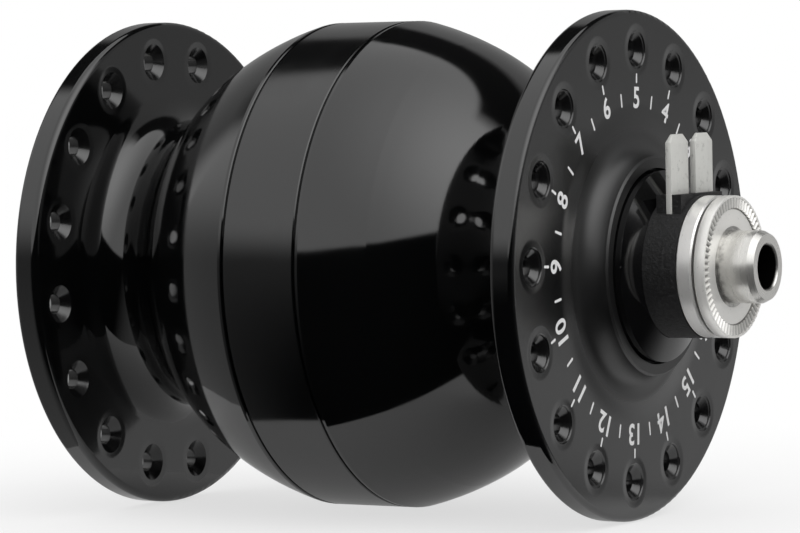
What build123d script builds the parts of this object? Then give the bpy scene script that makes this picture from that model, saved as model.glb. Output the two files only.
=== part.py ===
from build123d import *
import math
import os

os.makedirs("parts", exist_ok=True)

# A bicycle hub dynamo for 32 spokes, in millimetres.
# The axle lies along Y, with the electrical connector at the -Y end and its blades pointing up (+Z).
# The origin is the middle of the hub. A station is a distance from there along the axle.
# Outlines are (radius, station) points for the plain end (+Y). The connector end is its mirror image.

# Overall sizes
over_locknuts = 100.0
flange_diameter = 64.0
flange_thickness = 3.4
band_diameter = 62.6
band_width = 10.1

# Clearances
seat_gap = 0.02
running_gap = 0.3
ball_gap = 0.05
cut_overrun = 1.0

# Flanges and spoke holes
flange_outer_edge_radius = 0.65
flange_inner_edge_radius = 0.8
spokes_per_flange = 16
spoke_hole_diameter = 2.6
spoke_hole_inset = 5.0
spoke_countersink_diameter = 4.8
spoke_countersink_depth = 1.0
spoke_phase = -2.8

# Collar round the bearing
collar_height = 3.15
collar_wall = 1.5
collar_blend_radius = 2.6
collar_edge_break = 0.25
bearing_lip = 0.77

# Bells and the grooves beside the band. A bell curves more near its neck, so it has two arcs: the first one's
# radius is a share of that of one single arc, and its length a share of the way to the neck.
groove_width = 0.3
groove_depth = 0.35
lip_width = 0.45
edge_break = 0.12
bell_start_angle = 15.0
first_arc_share = 1.1507
first_arc_length_share = 0.3133
bell_wall = 2.6
neck_wall = 4.75
neck_hollow_radius = 10.2
flange_hollow_radius = 4.43
hollow_joint_angle = 30.0
housing_wall = 1.9

# Rotor band, magnets and gaskets
rotor_ring_step = 2.7
rotor_ring_width = 19.2
rotor_ring_wall = 2.6
magnet_thickness = 2.6
magnet_length = 17.6
magnet_pairs = 13
magnet_spacing = 0.6
gasket_thickness = 0.8
gasket_width = 1.2

# Axle
axle_diameter = 10.0
axle_shoulder_height = 0.5
stub_length = 4.4
stub_chamfer_length = 0.8
stub_chamfer_height = 0.4
skewer_bore_diameter = 5.4
skewer_bore_chamfer = 0.3

# Bearings. Shares are of the height between a bearing's bore and its outside.
bearing_outer_diameter = 26.0
bearing_width = 8.0
bearing_recess = 0.2
balls_per_bearing = 7
ball_diameter = 4.762
race_wall_share = 0.311
cage_wall_share = 0.225
cage_end_gap = 0.35
cage_front = 0.9
shield_thickness = 0.4
shield_inset = 0.3
shield_hole_gap = 0.4
circlip_thickness = 1.05
circlip_groove_depth = 0.7
circlip_height = 1.75
circlip_opening_angle = 40.0
circlip_land = 1.1

# Seals
seal_disc_thickness = 1.4
seal_disc_overhang = 0.95
seal_cone_length = 1.3
seal_cone_end_diameter = 18.0
seal_hub_wall = 2.0
lip_seal_case_height = 1.2
lip_seal_length = 1.8
lip_seal_web = 0.8
lip_seal_lip_height = 1.3
lip_seal_lip_lean = 0.7

# Stator
stator_length = 18.0
air_gap = 0.4
claw_plate_thickness = 2.0
claw_finger_thickness = 1.8
claw_root_width = 4.2
claw_tip_width = 3.2
claw_side_gap = 0.8
core_sleeve_wall = 3.0
bobbin_wall = 0.8
bobbin_rim_gap = 1.0
winding_setback = 0.6
winding_gap = 0.1
clamp_nut_wall = 3.5
clamp_nut_thickness = 3.0
clamp_nut_chamfer = 0.5
spacer_tube_wall = 1.8

# Lead wires
wire_diameter = 0.9
wire_pitch = 2.6
wire_nut_gap = 1.75
wire_side_gap = 0.1
wire_floor_gap = 0.05
wire_slot_gap = 0.45
wire_bend_radius = 3.0
wire_end_bend_radius = 1.0
wire_dive_start = 2.0
wire_dive_length = 5.5
wire_end_gap = 0.15

# Connector
connector_diameter = 17.8
connector_length = 4.5
pad_length = 3.4
pad_height = 9.1
cavity_roof = 0.9
cavity_side_wall = 0.85
cavity_back_gap = 0.25
cavity_front_gap = 0.4
terminal_width = 4.8
terminal_thickness = 0.8
terminal_spacing = 2.0
terminal_edge_shown = 0.05
terminal_tip_height = 16.5
terminal_foot_height = 6.3
terminal_setback = 1.8
terminal_bevel_width = 1.4
terminal_bevel_height = 1.0

# End spacers and locknuts
end_spacer_thickness = 2.05
end_spacer_diameter = 17.6
end_spacer_chamfer = 0.2
locknut_diameter = 17.6
locknut_thickness = 1.85
locknut_rim_thickness = 0.95
locknut_rim_overhang = 0.8
locknut_rim_chamfer = 0.3
locknut_teeth = 64
locknut_tooth_depth = 0.35
locknut_tooth_width = 0.7
locknut_tooth_length = 1.55

# Stations of the stack at each end, from the locknut's face inwards
half_over = over_locknuts / 2
axle_end = half_over + stub_length
axle_shoulder = half_over - locknut_tooth_depth
locknut_rim_in = half_over - locknut_rim_thickness
locknut_seat = half_over - locknut_thickness
connector_out = locknut_seat - end_spacer_thickness
connector_in = connector_out - connector_length
seal_cone_out = connector_in
seal_disc_out = seal_cone_out - seal_cone_length
seal_disc_in = seal_disc_out - seal_disc_thickness
collar_face = seal_disc_out - seal_disc_overhang
flange_out = collar_face - collar_height
flange_middle = flange_out - flange_thickness / 2
flange_in = flange_out - flange_thickness
bearing_out = flange_out + bearing_recess
bearing_middle = bearing_out - bearing_width / 2
bearing_in = bearing_out - bearing_width
circlip_in = bearing_in - circlip_thickness
housing_end = circlip_in - circlip_land

# Radii of the axle and the bearings, and what follows from them
axle_radius = axle_diameter / 2
axle_seat_radius = axle_radius + seat_gap
stub_radius = axle_radius - axle_shoulder_height
skewer_bore_radius = skewer_bore_diameter / 2
bearing_radius = bearing_outer_diameter / 2
bearing_seat_radius = bearing_radius + seat_gap
bearing_section = bearing_radius - axle_seat_radius
race_wall = race_wall_share * bearing_section
inner_shoulder_radius = axle_seat_radius + race_wall
outer_shoulder_radius = bearing_radius - race_wall
ball_circle_radius = (inner_shoulder_radius + outer_shoulder_radius) / 2
ball_radius = ball_diameter / 2
raceway_radius = ball_radius + ball_gap
circlip_groove_radius = bearing_seat_radius + circlip_groove_depth
opening_radius = bearing_seat_radius - bearing_lip
collar_radius = opening_radius + collar_wall
seal_disc_radius = opening_radius - running_gap
seal_hub_radius = axle_seat_radius + seal_hub_wall

# Flange, band and bell. The hollow of the neck has two arcs: one touches the bell's second arc, and the other
# one touches the neck and the flange.
flange_radius = flange_diameter / 2
band_radius = band_diameter / 2
band_edge = band_width / 2
bell_start = band_edge + groove_width + lip_width
bell_start_turn = math.radians(bell_start_angle)
neck_radius = bearing_seat_radius + neck_wall
flange_hollow_centre_radius = neck_radius + flange_hollow_radius
flange_hollow_centre_station = flange_in - flange_hollow_radius
hollow_joint_turn = math.radians(hollow_joint_angle)
hollow_step = neck_hollow_radius - flange_hollow_radius
hollow_centre_radius = flange_hollow_centre_radius + hollow_step * math.cos(hollow_joint_turn)
hollow_centre_station = flange_hollow_centre_station + hollow_step * math.sin(hollow_joint_turn)


def arc_to_hollow(radius, station, turn):
    """Radius of the arc that starts at a point and a turn in radians, and touches the hollow's first arc."""
    drop = radius - hollow_centre_radius
    run = hollow_centre_station - station
    lean = drop * math.cos(turn) - run * math.sin(turn)
    return (drop ** 2 + run ** 2 - neck_hollow_radius ** 2) / (2 * (neck_hollow_radius + lean))


first_arc_radius = first_arc_share * arc_to_hollow(band_radius, bell_start, bell_start_turn)
first_centre_radius = band_radius - first_arc_radius * math.cos(bell_start_turn)
first_centre_station = bell_start - first_arc_radius * math.sin(bell_start_turn)
first_arc_end = bell_start + first_arc_length_share * (hollow_centre_station - bell_start)
first_end_turn = math.asin((first_arc_end - first_centre_station) / first_arc_radius)
first_end_radius = first_centre_radius + first_arc_radius * math.cos(first_end_turn)
second_arc_radius = arc_to_hollow(first_end_radius, first_arc_end, first_end_turn)
second_centre_radius = first_end_radius - second_arc_radius * math.cos(first_end_turn)
second_centre_station = first_arc_end - second_arc_radius * math.sin(first_end_turn)
bell_end_turn = math.atan2(hollow_centre_station - second_centre_station,
                           hollow_centre_radius - second_centre_radius)

# Radii and stations of the rotor
rotor_ring_radius = band_radius - rotor_ring_step
rotor_ring_edge = rotor_ring_width / 2
magnet_seat_radius = rotor_ring_radius - rotor_ring_wall
magnet_outer_radius = magnet_seat_radius - seat_gap
magnet_inner_radius = magnet_seat_radius - magnet_thickness
spigot_radius = rotor_ring_radius + seat_gap
spigot_step = rotor_ring_edge + gasket_thickness

# Radii and stations of the stator
stator_end = stator_length / 2
claw_radius = magnet_inner_radius - air_gap
claw_inner_radius = claw_radius - claw_finger_thickness
claw_disc_radius = claw_inner_radius - claw_side_gap
claw_plate_in = stator_end - claw_plate_thickness
core_sleeve_radius = axle_seat_radius + core_sleeve_wall
bobbin_end = claw_plate_in - winding_gap
bobbin_flange_in = bobbin_end - bobbin_wall
bobbin_bore_radius = core_sleeve_radius + seat_gap
bobbin_barrel_radius = bobbin_bore_radius + bobbin_wall
bobbin_rim_radius = claw_inner_radius - bobbin_rim_gap
winding_end = bobbin_flange_in - winding_gap
clamp_nut_out = stator_end + clamp_nut_thickness
clamp_nut_flat = axle_seat_radius + clamp_nut_wall
clamp_nut_corner = clamp_nut_flat / math.cos(math.radians(30))

# Stations and sizes of the connector
connector_radius = connector_diameter / 2
terminal_out = connector_out - terminal_setback
terminal_in = terminal_out - terminal_thickness
terminal_middle_x = (terminal_spacing + terminal_width) / 2
pad_width = 2 * (terminal_middle_x + terminal_width / 2 - terminal_edge_shown)
cavity_top = pad_height - cavity_roof

# Route of the lead wires, from the winding down to a groove in the axle and out to the blades
wire_radius = wire_diameter / 2
wire_x = wire_pitch / 2
wire_height = clamp_nut_corner + wire_nut_gap + wire_radius
wire_groove_width = wire_pitch + wire_diameter + 2 * wire_side_gap
wire_top = math.sqrt(axle_radius ** 2 - (wire_x + wire_radius) ** 2)
wire_low = wire_top - wire_radius
wire_groove_floor = wire_low - wire_radius - wire_floor_gap
wire_dive = clamp_nut_out + wire_dive_start
wire_landing = wire_dive + wire_dive_length
wire_rise = terminal_in - wire_radius


def turned(points):
    """A solid of revolution about the axle from straight-sided (radius, station) points."""
    return revolve(make_face(Polyline(*points, close=True)), Axis.Y)


def ring(inner, outer, start, end):
    """A plain tube about the axle, between two stations."""
    return turned([(inner, start), (outer, start), (outer, end), (inner, end)])


def block(width, start, end, bottom, top):
    """A box centred on x = 0, between two places along Y and two heights."""
    return Pos(0, (start + end) / 2, (bottom + top) / 2) * Box(width, end - start, top - bottom)


def round_the_axle(shape, count):
    """Copies of a shape turned about the axle, evenly spaced, as a list."""
    return [Rot(0, 360 * index / count, 0) * shape for index in range(count)]


def at_connector_end(shape):
    """The mirror image of a piece of the plain end."""
    return mirror(shape, about=Plane.XZ)


def both_halves(points):
    """The points of a half outline, then their mirror images in reverse, as one closed outline."""
    return points + [(radius, -station) for radius, station in reversed(points)]


def filled(*lines):
    """A face bounded by lines and arcs that meet end to end."""
    return make_face([edge for line in lines for edge in line.edges()])


def quarter_round(start, end, corner):
    """An arc from start to end that bulges towards the corner where their tangents meet."""
    middle = [(s + e) / 2 for s, e in zip(start, end)]
    centre = [s + e - c for s, e, c in zip(start, end, corner)]
    reach = math.dist(start, centre) / math.dist(middle, centre)
    through = [c + (m - c) * reach for m, c in zip(middle, centre)]
    return ThreePointArc(start, tuple(through), end)


def first_arc(depth, turn):
    """A point of a bell's first arc, or at a depth under it, at a turn in radians from the hub's equator."""
    radius = first_arc_radius - depth
    return first_centre_radius + radius * math.cos(turn), first_centre_station + radius * math.sin(turn)


def second_arc(depth, turn):
    """A point of a bell's second arc, or at a depth under it."""
    radius = second_arc_radius - depth
    return second_centre_radius + radius * math.cos(turn), second_centre_station + radius * math.sin(turn)


def neck_hollow(turn):
    """A point of the hollow's arc beside the bell."""
    return (hollow_centre_radius - neck_hollow_radius * math.cos(turn),
            hollow_centre_station - neck_hollow_radius * math.sin(turn))


def flange_hollow(turn):
    """A point of the hollow's arc beside the flange."""
    return (flange_hollow_centre_radius - flange_hollow_radius * math.cos(turn),
            flange_hollow_centre_station - flange_hollow_radius * math.sin(turn))


def bell_wall_lines(start, start_turn, depth, end_turn):
    """The two arcs of a bell, or of the wall's inside at a depth under them, up to an end turn."""
    joint = first_arc(depth, first_end_turn)
    return [ThreePointArc(start, first_arc(depth, (start_turn + first_end_turn) / 2), joint),
            ThreePointArc(joint, second_arc(depth, (first_end_turn + end_turn) / 2),
                          second_arc(depth, end_turn))]


def shell_outline():
    """Section of one shell: mating edge, bell, neck, flange, collar, bearing seat and inner wall."""
    lip_start = band_edge + groove_width
    groove_floor = band_radius - groove_depth
    bell_end = second_arc(0, bell_end_turn)
    hollow_joint = neck_hollow(hollow_joint_turn)
    hollow_end = (flange_hollow_centre_radius, flange_in)

    rim_in = (flange_radius, flange_in + flange_inner_edge_radius)
    rim_out = (flange_radius, flange_out - flange_outer_edge_radius)
    face_in = (flange_radius - flange_inner_edge_radius, flange_in)
    face_out = (flange_radius - flange_outer_edge_radius, flange_out)
    blend_start = (collar_radius + collar_blend_radius, flange_out)
    blend_end = (collar_radius, flange_out + collar_blend_radius)

    inner_start_turn = math.asin((spigot_step - first_centre_station) / (first_arc_radius - bell_wall))
    inner_start = first_arc(bell_wall, inner_start_turn)
    housing_radius = circlip_groove_radius + housing_wall
    housing_away = math.hypot(housing_radius - second_centre_radius, housing_end - second_centre_station)
    inner_end_turn = (math.atan2(housing_end - second_centre_station, housing_radius - second_centre_radius)
                      - math.acos((second_arc_radius - bell_wall) / housing_away))
    inner_end = second_arc(bell_wall, inner_end_turn)

    return filled(
        Polyline((spigot_radius, band_edge), (groove_floor, band_edge), (groove_floor, lip_start),
                 (band_radius - edge_break, lip_start), (band_radius, lip_start + edge_break),
                 (band_radius, bell_start)),
        *bell_wall_lines((band_radius, bell_start), bell_start_turn, 0, bell_end_turn),
        ThreePointArc(bell_end, neck_hollow((bell_end_turn + hollow_joint_turn) / 2), hollow_joint),
        ThreePointArc(hollow_joint, flange_hollow(hollow_joint_turn / 2 - math.pi / 4), hollow_end),
        Line(hollow_end, face_in),
        quarter_round(face_in, rim_in, (flange_radius, flange_in)),
        Line(rim_in, rim_out),
        quarter_round(rim_out, face_out, (flange_radius, flange_out)),
        Line(face_out, blend_start),
        quarter_round(blend_start, blend_end, (collar_radius, flange_out)),
        Polyline(blend_end, (collar_radius, collar_face - collar_edge_break),
                 (collar_radius - collar_edge_break, collar_face), (opening_radius, collar_face),
                 (opening_radius, bearing_out), (bearing_seat_radius, bearing_out),
                 (bearing_seat_radius, bearing_in), (circlip_groove_radius, bearing_in),
                 (circlip_groove_radius, circlip_in), (bearing_seat_radius, circlip_in),
                 (bearing_seat_radius, housing_end), (housing_radius, housing_end), inner_end),
        *bell_wall_lines(inner_start, inner_start_turn, bell_wall, inner_end_turn),
        Polyline(inner_start, (spigot_radius, spigot_step), (spigot_radius, band_edge)))


def spoke_hole_tool():
    """A spoke hole with a countersink on both faces, centred on the middle of the flange."""
    hole = spoke_hole_diameter / 2
    mouth = spoke_countersink_diameter / 2
    beyond = mouth + (mouth - hole) * cut_overrun / spoke_countersink_depth
    face = flange_thickness / 2
    cone = face - spoke_countersink_depth
    tool = turned([(0, -face - cut_overrun), (beyond, -face - cut_overrun), (hole, -cone),
                   (hole, cone), (beyond, face + cut_overrun), (0, face + cut_overrun)])
    return Pos(flange_radius - spoke_hole_inset, flange_middle, 0) * tool


def shell(offset_share):
    """One shell with its spoke holes, which start a share of their pitch further round."""
    pitch = 360 / spokes_per_flange
    start = spoke_phase + offset_share * pitch
    holes = round_the_axle(Rot(0, -start, 0) * spoke_hole_tool(), spokes_per_flange)
    return revolve(shell_outline(), Axis.Y) - holes


def rotor_band():
    """The steel ring that shows between the shells and reaches under both of them."""
    break_station = band_edge - edge_break
    break_radius = band_radius - edge_break
    half = [(magnet_seat_radius, rotor_ring_edge), (rotor_ring_radius, rotor_ring_edge),
            (rotor_ring_radius, band_edge), (break_radius, band_edge), (band_radius, break_station)]
    return turned(both_halves(half))


def magnets(offset_share):
    """Every second magnet of the ring, one polarity, as separate segments."""
    pitch = 360 / (2 * magnet_pairs)
    gap = math.degrees(magnet_spacing / magnet_inner_radius)
    half = [(magnet_inner_radius, magnet_length / 2), (magnet_outer_radius, magnet_length / 2)]
    section = make_face(Polyline(*both_halves(half), close=True))
    segment = revolve(section, Axis.Y, pitch - gap)
    return round_the_axle(Rot(0, 2 * pitch * offset_share, 0) * segment, magnet_pairs)


def shell_gasket():
    """The flat ring squeezed between the rotor band and a shell."""
    return ring(rotor_ring_radius - gasket_width, rotor_ring_radius, rotor_ring_edge, spigot_step)


def axle():
    """The hollow axle with its stubs, and the wire groove in its connector half."""
    chamfer = skewer_bore_chamfer
    half = [(axle_radius, axle_shoulder), (stub_radius, axle_shoulder),
            (stub_radius, axle_end - stub_chamfer_length), (stub_radius - stub_chamfer_height, axle_end),
            (skewer_bore_radius + chamfer, axle_end), (skewer_bore_radius, axle_end - chamfer)]
    body = turned(both_halves(half))
    groove_start = wire_dive + wire_dive_length / 2
    groove_end = wire_rise + wire_radius + wire_side_gap
    return body - block(wire_groove_width, -groove_end, -groove_start, wire_groove_floor, axle_diameter)


def claw_plate():
    """A claw pole: a disc with tapered fingers that reach over the winding, between its partner's."""
    outline = Polyline((stator_end, claw_root_width / 2), (claw_plate_in, claw_root_width / 2),
                       (-stator_end, claw_tip_width / 2), (-stator_end, -claw_tip_width / 2),
                       (claw_plate_in, -claw_root_width / 2), (stator_end, -claw_root_width / 2), close=True)
    wedge = extrude(Plane.YZ * make_face(outline), claw_radius + cut_overrun)
    bite = claw_disc_radius - claw_side_gap
    bend = turned([(bite, claw_plate_in), (bite, stator_end), (claw_radius, stator_end),
                   (claw_radius, -stator_end), (claw_inner_radius, -stator_end),
                   (claw_inner_radius, claw_plate_in)])
    finger = bend & wedge
    disc = ring(axle_seat_radius, claw_disc_radius, claw_plate_in, stator_end)
    return disc + round_the_axle(finger, magnet_pairs)


def wire_slot():
    """Cutter for the slot that lets both wires through the claw plate at the connector end."""
    half_height = wire_radius + wire_slot_gap
    width = wire_groove_width + 2 * wire_slot_gap
    return block(width, -stator_end - cut_overrun, -claw_plate_in + cut_overrun,
                 wire_height - half_height, wire_height + half_height)


def coil_bobbin():
    """The spool that carries the winding, with a hole for each wire in its connector-end flange."""
    half = [(bobbin_bore_radius, bobbin_end), (bobbin_rim_radius, bobbin_end),
            (bobbin_rim_radius, bobbin_flange_in), (bobbin_barrel_radius, bobbin_flange_in)]
    drill = Rot(90, 0, 0) * Cylinder(wire_radius + wire_floor_gap, bobbin_wall + 2 * cut_overrun)
    middle = -(bobbin_end + bobbin_flange_in) / 2
    return turned(both_halves(half)) - [Pos(x, middle, wire_height) * drill for x in (-wire_x, wire_x)]


def coil_winding():
    """The winding as one solid ring."""
    outer = bobbin_rim_radius - winding_setback
    return ring(bobbin_barrel_radius + seat_gap, outer, -winding_end, winding_end)


def clamp_nut():
    """A hexagon nut with chamfered corners, against the stator."""
    prism = extrude(RegularPolygon(clamp_nut_corner, 6), clamp_nut_thickness, both=True)
    blank = turned([(axle_seat_radius, stator_end), (clamp_nut_flat, stator_end),
                    (clamp_nut_corner, stator_end + clamp_nut_chamfer),
                    (clamp_nut_corner, clamp_nut_out - clamp_nut_chamfer),
                    (clamp_nut_flat, clamp_nut_out), (axle_seat_radius, clamp_nut_out)])
    return blank & (Pos(0, (stator_end + clamp_nut_out) / 2, 0) * Rot(90, 0, 0) * prism)


def spacer_tube():
    """The tube between a clamp nut and an inner race."""
    return ring(axle_seat_radius, axle_seat_radius + spacer_tube_wall, clamp_nut_out, bearing_in)


def wire_window():
    """Cutter for the window where the wires dive through the spacer tube into the axle's groove."""
    return block(wire_groove_width, -wire_landing - wire_bend_radius, -wire_dive - wire_dive_length / 4,
                 wire_groove_floor, axle_diameter)


def race(seat, shoulder, groove_bottom):
    """A bearing race with its ball groove, between the radius of its seat and that of its shoulders."""
    half_groove = math.sqrt(raceway_radius ** 2 - (ball_circle_radius - shoulder) ** 2)
    start = (shoulder, bearing_middle - half_groove)
    end = (shoulder, bearing_middle + half_groove)
    return revolve(filled(
        Polyline(end, (shoulder, bearing_out), (seat, bearing_out), (seat, bearing_in),
                 (shoulder, bearing_in), start),
        ThreePointArc(start, (groove_bottom, bearing_middle), end)), Axis.Y)


def bearing_shields():
    """The two metal shields pressed into a bearing's outer race."""
    outer = outer_shoulder_radius - seat_gap
    inner = inner_shoulder_radius + shield_hole_gap
    near = bearing_in + shield_inset
    far = bearing_out - shield_inset - shield_thickness
    return [ring(inner, outer, start, start + shield_thickness) for start in (near, far)]


def ball():
    """The first ball of a bearing."""
    return Pos(ball_circle_radius, bearing_middle, 0) * Sphere(ball_radius)


def bearing_cage():
    """A crown cage: a ring with a row of open pockets, one for each ball."""
    half_wall = cage_wall_share * bearing_section / 2
    back = bearing_in + shield_inset + shield_thickness + cage_end_gap
    body = ring(ball_circle_radius - half_wall, ball_circle_radius + half_wall, back,
                bearing_middle + cage_front)
    drill = Rot(0, 90, 0) * Cylinder(raceway_radius, ball_diameter)
    return body - round_the_axle(Pos(ball_circle_radius, bearing_middle, 0) * drill, balls_per_bearing)


def bearing_circlip():
    """The open ring that keeps a bearing in its seat."""
    outer = circlip_groove_radius - seat_gap
    inner = outer - circlip_height
    section = Polyline((inner, circlip_in), (outer, circlip_in), (outer, bearing_in), (inner, bearing_in),
                       close=True)
    return revolve(make_face(section), Axis.Y, 360 - circlip_opening_angle)


def lip_seal():
    """A rubber ring in the collar whose lip runs just clear of the seal cone's hub."""
    outer = opening_radius - seat_gap
    inner = outer - lip_seal_case_height
    tip = seal_hub_radius + running_gap
    root = tip + lip_seal_lip_height
    web_out = bearing_out + lip_seal_web
    case_out = bearing_out + lip_seal_length
    return turned([(outer, bearing_out), (outer, case_out), (inner, case_out), (inner, web_out),
                   (root, web_out), (tip, web_out + lip_seal_lip_lean),
                   (tip, bearing_out + lip_seal_lip_lean), (root, bearing_out)])


def seal_cone():
    """The fixed cover that fills the collar's opening, with a hub that clamps the inner race."""
    cone_end = seal_cone_end_diameter / 2
    return turned([(axle_seat_radius, bearing_out), (seal_hub_radius, bearing_out),
                   (seal_hub_radius, seal_disc_in), (seal_disc_radius, seal_disc_in),
                   (seal_disc_radius, seal_disc_out), (cone_end, seal_cone_out),
                   (axle_seat_radius, seal_cone_out)])


def end_sleeve():
    """Plain ring between the seal cone and the end spacer, at the end with no connector."""
    return ring(axle_seat_radius, connector_radius, connector_in, connector_out)


def terminal_block(x, gap, foot, tip):
    """A box around one blade, widened by a gap."""
    size = Box(terminal_width + 2 * gap, terminal_thickness + 2 * gap, tip - foot)
    return Pos(x, -(terminal_in + terminal_out) / 2, (foot + tip) / 2) * size


def connector_body():
    """The moulded block that holds both blades over a pocket for the wire ends."""
    pad_middle = (connector_in + connector_out) / 2
    pad = block(pad_width, -pad_middle - pad_length / 2, -pad_middle + pad_length / 2, 0, pad_height)
    body = ring(axle_seat_radius, connector_radius, -connector_out, -connector_in) + pad
    bore = ring(0, axle_seat_radius, -connector_out, -connector_in)
    pocket = block(pad_width - 2 * cavity_side_wall, -terminal_out - cavity_front_gap,
                   -wire_rise + wire_radius + cavity_back_gap, 0, cavity_top)
    slots = [terminal_block(x, seat_gap, terminal_foot_height, terminal_tip_height)
             for x in (-terminal_middle_x, terminal_middle_x)]
    return body - [bore, pocket] - slots


def terminal(x):
    """A flat blade with bevelled tip corners."""
    half = terminal_width / 2
    bevel_x = half - terminal_bevel_width
    bevel_z = terminal_tip_height - terminal_bevel_height
    outline = Polyline((-half, terminal_foot_height), (half, terminal_foot_height), (half, bevel_z),
                       (bevel_x, terminal_tip_height), (-bevel_x, terminal_tip_height), (-half, bevel_z),
                       close=True)
    blade = Rot(90, 0, 0) * extrude(make_face(outline), terminal_thickness / 2, both=True)
    return Pos(x, -(terminal_in + terminal_out) / 2, 0) * blade


def lead_wire(x):
    """One insulated wire, as a tube along straight runs joined by arcs."""
    path = FilletPolyline((x, -winding_end, wire_height), (x, -wire_dive, wire_height),
                          (x, -wire_landing, wire_low), (x, -wire_rise, wire_low),
                          (x, -wire_rise, cavity_top - wire_end_gap),
                          radius=[wire_bend_radius, wire_bend_radius, wire_end_bend_radius])
    section = Plane(origin=path @ 0, z_dir=path % 0) * Circle(wire_radius)
    return sweep(section, path=path)


def end_spacer():
    """The polished disc under the locknut, with broken edges."""
    outer = end_spacer_diameter / 2
    edge = end_spacer_chamfer
    return turned([(axle_seat_radius, connector_out), (outer - edge, connector_out),
                   (outer, connector_out + edge), (outer, locknut_seat - edge),
                   (outer - edge, locknut_seat), (axle_seat_radius, locknut_seat)])


def locknut():
    """A round locknut whose outer face has radial serrations that bite into the fork end."""
    rim = locknut_diameter / 2
    neck = rim - locknut_rim_overhang
    face = rim - locknut_tooth_length
    chamfer = locknut_rim_chamfer
    blank = turned([(axle_seat_radius, locknut_seat), (neck, locknut_seat),
                    (neck, locknut_rim_in - chamfer), (rim, locknut_rim_in), (rim, half_over),
                    (face, half_over), (face, axle_shoulder), (axle_seat_radius, axle_shoulder)])
    beyond = half_over + cut_overrun
    mouth = locknut_tooth_width / 2 * (locknut_tooth_depth + cut_overrun) / locknut_tooth_depth
    notch = Polyline((axle_shoulder, 0), (beyond, mouth), (beyond, -mouth), close=True)
    cutter = extrude(Plane.YZ.offset(face / 2) * make_face(notch), rim)
    return blank - round_the_axle(cutter, locknut_teeth)


def write(name, *shapes):
    export_step(Compound(shapes) if len(shapes) > 1 else shapes[0], f"parts/{name}.step")


def write_both_ends(name, *shapes):
    """The same piece, or set of pieces, at the plain end and, mirrored, at the connector end."""
    write(f"{name}_plain_side", *shapes)
    write(f"{name}_connector_side", *[at_connector_end(shape) for shape in shapes])


def write_axle_assembly():
    half_pole = 180 / magnet_pairs
    write("axle", axle())
    write("stator_claw_plain_side", claw_plate())
    write("stator_claw_connector_side", Rot(0, half_pole, 0) * at_connector_end(claw_plate()) - wire_slot())
    write("stator_core_sleeve", ring(axle_seat_radius, core_sleeve_radius, -claw_plate_in, claw_plate_in))
    write("coil_bobbin", coil_bobbin())
    write("coil_winding", coil_winding())
    write_both_ends("stator_clamp_nut", clamp_nut())
    write("spacer_tube_plain_side", spacer_tube())
    write("spacer_tube_connector_side", at_connector_end(spacer_tube()) - wire_window())
    inner_groove = ball_circle_radius - raceway_radius
    write_both_ends("bearing_inner_race", race(axle_seat_radius, inner_shoulder_radius, inner_groove))
    write_both_ends("seal_cone", seal_cone())
    write("end_sleeve_plain_side", end_sleeve())
    write("connector_body", connector_body())
    write("terminal_left", terminal(-terminal_middle_x))
    write("terminal_right", terminal(terminal_middle_x))
    write("lead_wire_left", lead_wire(-wire_x))
    write("lead_wire_right", lead_wire(wire_x))
    write_both_ends("end_spacer", end_spacer())
    write_both_ends("locknut", locknut())


def write_hub_shell():
    half_pitch_share = 0.5
    write("shell_plain_side", shell(half_pitch_share))
    write("shell_connector_side", at_connector_end(shell(0)))
    write("rotor_band", rotor_band())
    write("magnets_north", *magnets(0))
    write("magnets_south", *magnets(half_pitch_share))
    write_both_ends("shell_gasket", shell_gasket())
    outer_groove = ball_circle_radius + raceway_radius
    write_both_ends("bearing_outer_race", race(bearing_radius, outer_shoulder_radius, outer_groove))
    write_both_ends("bearing_shields", *bearing_shields())
    write_both_ends("bearing_circlip", bearing_circlip())
    write_both_ends("lip_seal", lip_seal())


def write_ball_sets():
    write_both_ends("bearing_cage", bearing_cage())
    write_both_ends("bearing_balls", *round_the_axle(ball(), balls_per_bearing))


write_axle_assembly()
write_hub_shell()
write_ball_sets()
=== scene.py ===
"""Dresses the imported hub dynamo: studio, finishes and the small details that its solids leave out."""
import math

import bmesh
import bpy
from bpy.props import FloatProperty, FloatVectorProperty, IntProperty, PointerProperty
from mathutils import Matrix, Vector


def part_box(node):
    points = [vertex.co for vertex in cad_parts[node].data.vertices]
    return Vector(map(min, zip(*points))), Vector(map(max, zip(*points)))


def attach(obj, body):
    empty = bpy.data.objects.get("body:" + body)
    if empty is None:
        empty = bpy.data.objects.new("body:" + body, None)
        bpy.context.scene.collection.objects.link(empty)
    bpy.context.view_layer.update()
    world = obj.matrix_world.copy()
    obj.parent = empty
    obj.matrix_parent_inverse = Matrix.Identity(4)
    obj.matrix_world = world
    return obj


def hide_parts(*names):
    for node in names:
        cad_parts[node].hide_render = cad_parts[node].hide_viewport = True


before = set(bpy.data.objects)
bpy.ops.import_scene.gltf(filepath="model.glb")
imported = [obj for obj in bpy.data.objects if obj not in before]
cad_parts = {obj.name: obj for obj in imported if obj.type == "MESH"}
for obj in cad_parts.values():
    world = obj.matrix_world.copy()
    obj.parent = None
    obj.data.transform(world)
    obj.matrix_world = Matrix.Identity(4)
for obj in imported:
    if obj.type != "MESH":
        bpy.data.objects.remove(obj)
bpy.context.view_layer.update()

bl_info = {
    "name": "Hub Dynamo Dressing",
    "version": (1, 0, 0),
    "blender": (4, 5, 0),
    "location": "3D View > Sidebar > Hub Dynamo",
    "description": "Studio, finishes and fine details for a bicycle hub dynamo",
    "category": "Object",
}

MM = 0.001
ENDS = ("connector_side", "plain_side")

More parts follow.
